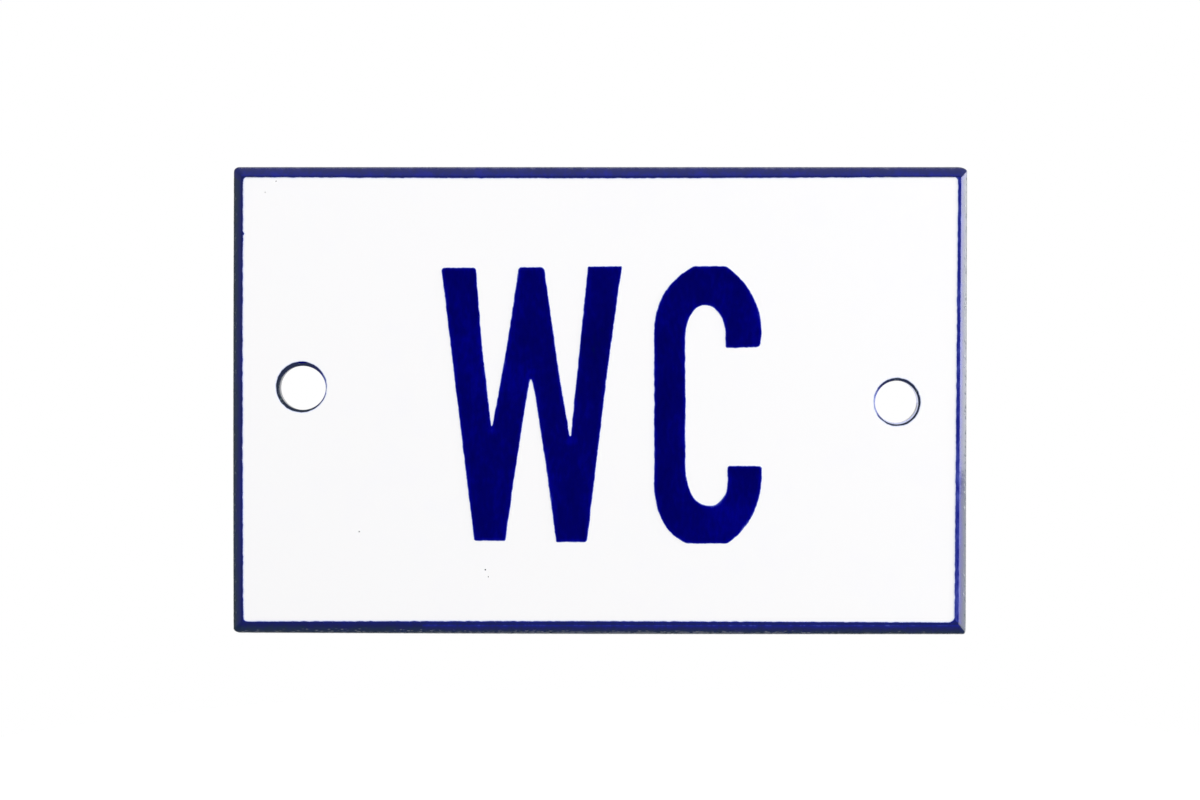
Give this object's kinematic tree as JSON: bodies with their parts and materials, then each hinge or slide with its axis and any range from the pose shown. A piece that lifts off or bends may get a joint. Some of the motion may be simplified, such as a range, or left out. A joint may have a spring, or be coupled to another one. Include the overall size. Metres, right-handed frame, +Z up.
{
  "type": "enamel toilet sign",
  "caption": "Small rectangular enamelled steel door sign: white face, dark blue border running over a bevelled edge, and a plain screw hole at each end.",
  "frame": {"origin": "centre of the back face, which lies against the door", "axes": "+X to the right along the width as read from the front, +Z up, +Y into the door, so the printed face looks along -Y"},
  "size_m": [0.08, 0.002, 0.051],
  "materials": {
    "white_enamel": "gloss",
    "blue_enamel": "gloss"
  },
  "bodies": {
    "root": {"sign_plate": "white_enamel"}
  },
  "joints": []
}
